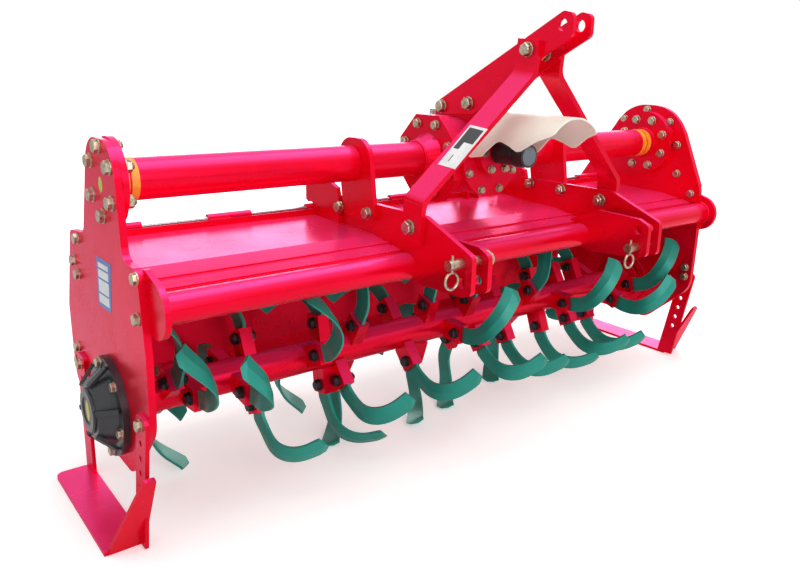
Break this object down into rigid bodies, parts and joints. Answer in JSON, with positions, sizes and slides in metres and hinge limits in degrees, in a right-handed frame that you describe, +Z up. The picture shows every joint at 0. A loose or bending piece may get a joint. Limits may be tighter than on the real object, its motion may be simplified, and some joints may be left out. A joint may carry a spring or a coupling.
{
  "type": "tractor rotary tiller",
  "caption": "Red side-driven rotary tiller for a three-point tractor hitch, with a bladed rotor, hood, levelling board and skids.",
  "frame": {"origin": "on the floor, under the middle of the machine's bounding box", "axes": "+X along the rotor axis towards the gear case, -Y towards the tractor, +Z up"},
  "size_m": [1.956, 0.775, 1.0578],
  "materials": {
    "red_paint": "gloss",
    "green_paint": "satin",
    "black_cast": "satin",
    "black_plastic": "matte",
    "pale_plastic": "satin",
    "bright_steel": "satin",
    "zinc_plate": "satin"
  },
  "bodies": {
    "frame": {"side_plate_left": "red_paint", "side_plate_right": "red_paint", "main_tube_left": "red_paint", "main_tube_right": "red_paint", "gearbox_housing": "red_paint", "filler_plug": "zinc_plate", "input_bearing_cap": "red_paint", "pto_shield": "pale_plastic", "front_tube": "red_paint", "hood": "red_paint", "hinge_rod": "bright_steel", "rod_ears": "red_paint", "hitch_plates_outer": "red_paint", "hitch_plates_inner": "red_paint", "saddle_brackets": "red_paint", "rear_stays": "red_paint", "brace_right": "red_paint", "brace_left": "red_paint", "mast_plates": "red_paint", "hitch_pin_left": "zinc_plate", "hitch_pin_right": "zinc_plate", "linchpin_left": "zinc_plate", "linchpin_right": "zinc_plate", "skid_left": "red_paint", "skid_right": "red_paint", "bearing_housing_left": "black_cast", "side_gear_case": "red_paint", "side_gear_cover": "red_paint"},
    "rotor": {"rotor_tube": "red_paint", "blades_right_hand": "green_paint", "blades_left_hand": "green_paint"},
    "input_shaft": {"pto_shaft": "bright_steel", "pto_cap": "black_plastic"},
    "levelling_board": {"levelling_board": "red_paint"},
    "swivel_left": {"rod_swivel_left": "zinc_plate"},
    "swivel_right": {"rod_swivel_right": "zinc_plate"},
    "rod_left": {"adjusting_rod_left": "zinc_plate"},
    "rod_right": {"adjusting_rod_right": "zinc_plate"}
  },
  "joints": [
    {"name": "rotor_spin", "type": "hinge", "parent": "frame", "child": "rotor", "pos_m": [0, 0.0525, 0.25], "axis": [1, 0, 0], "continuous": true},
    {"name": "input_spin", "type": "hinge", "parent": "frame", "child": "input_shaft", "pos_m": [0, -0.1015, 0.74], "axis": [0, 1, 0], "continuous": true},
    {"name": "board_hinge", "type": "hinge", "parent": "frame", "child": "levelling_board", "pos_m": [0, 0.2025, 0.583], "axis": [1, 0, 0], "range_deg": [0, 45]},
    {"name": "swivel_left_turn", "type": "hinge", "parent": "frame", "child": "swivel_left", "pos_m": [-0.185, 0.1805, 0.66], "axis": [1, 0, 0], "range_deg": [0, 35.23]},
    {"name": "rod_left_slide", "type": "slide", "parent": "swivel_left", "child": "rod_left", "axis": [0, -0.6402, 0.7682], "range_m": [0, 0.0386]},
    {"name": "swivel_right_turn", "type": "hinge", "parent": "frame", "child": "swivel_right", "pos_m": [0.185, 0.1805, 0.66], "axis": [1, 0, 0], "range_deg": [0, 35.23]},
    {"name": "rod_right_slide", "type": "slide", "parent": "swivel_right", "child": "rod_right", "axis": [0, -0.6402, 0.7682], "range_m": [0, 0.0386]}
  ],
  "couplings": [
    {"joint": "input_spin", "follows": "rotor_spin", "ratio": 2.5},
    {"joint": "swivel_left_turn", "follows": "board_hinge", "ratio": 0.78073},
    {"joint": "rod_left_slide", "follows": "board_hinge", "m_per_rad": 0.04888},
    {"joint": "swivel_right_turn", "follows": "board_hinge", "ratio": 0.78073},
    {"joint": "rod_right_slide", "follows": "board_hinge", "m_per_rad": 0.04888}
  ]
}
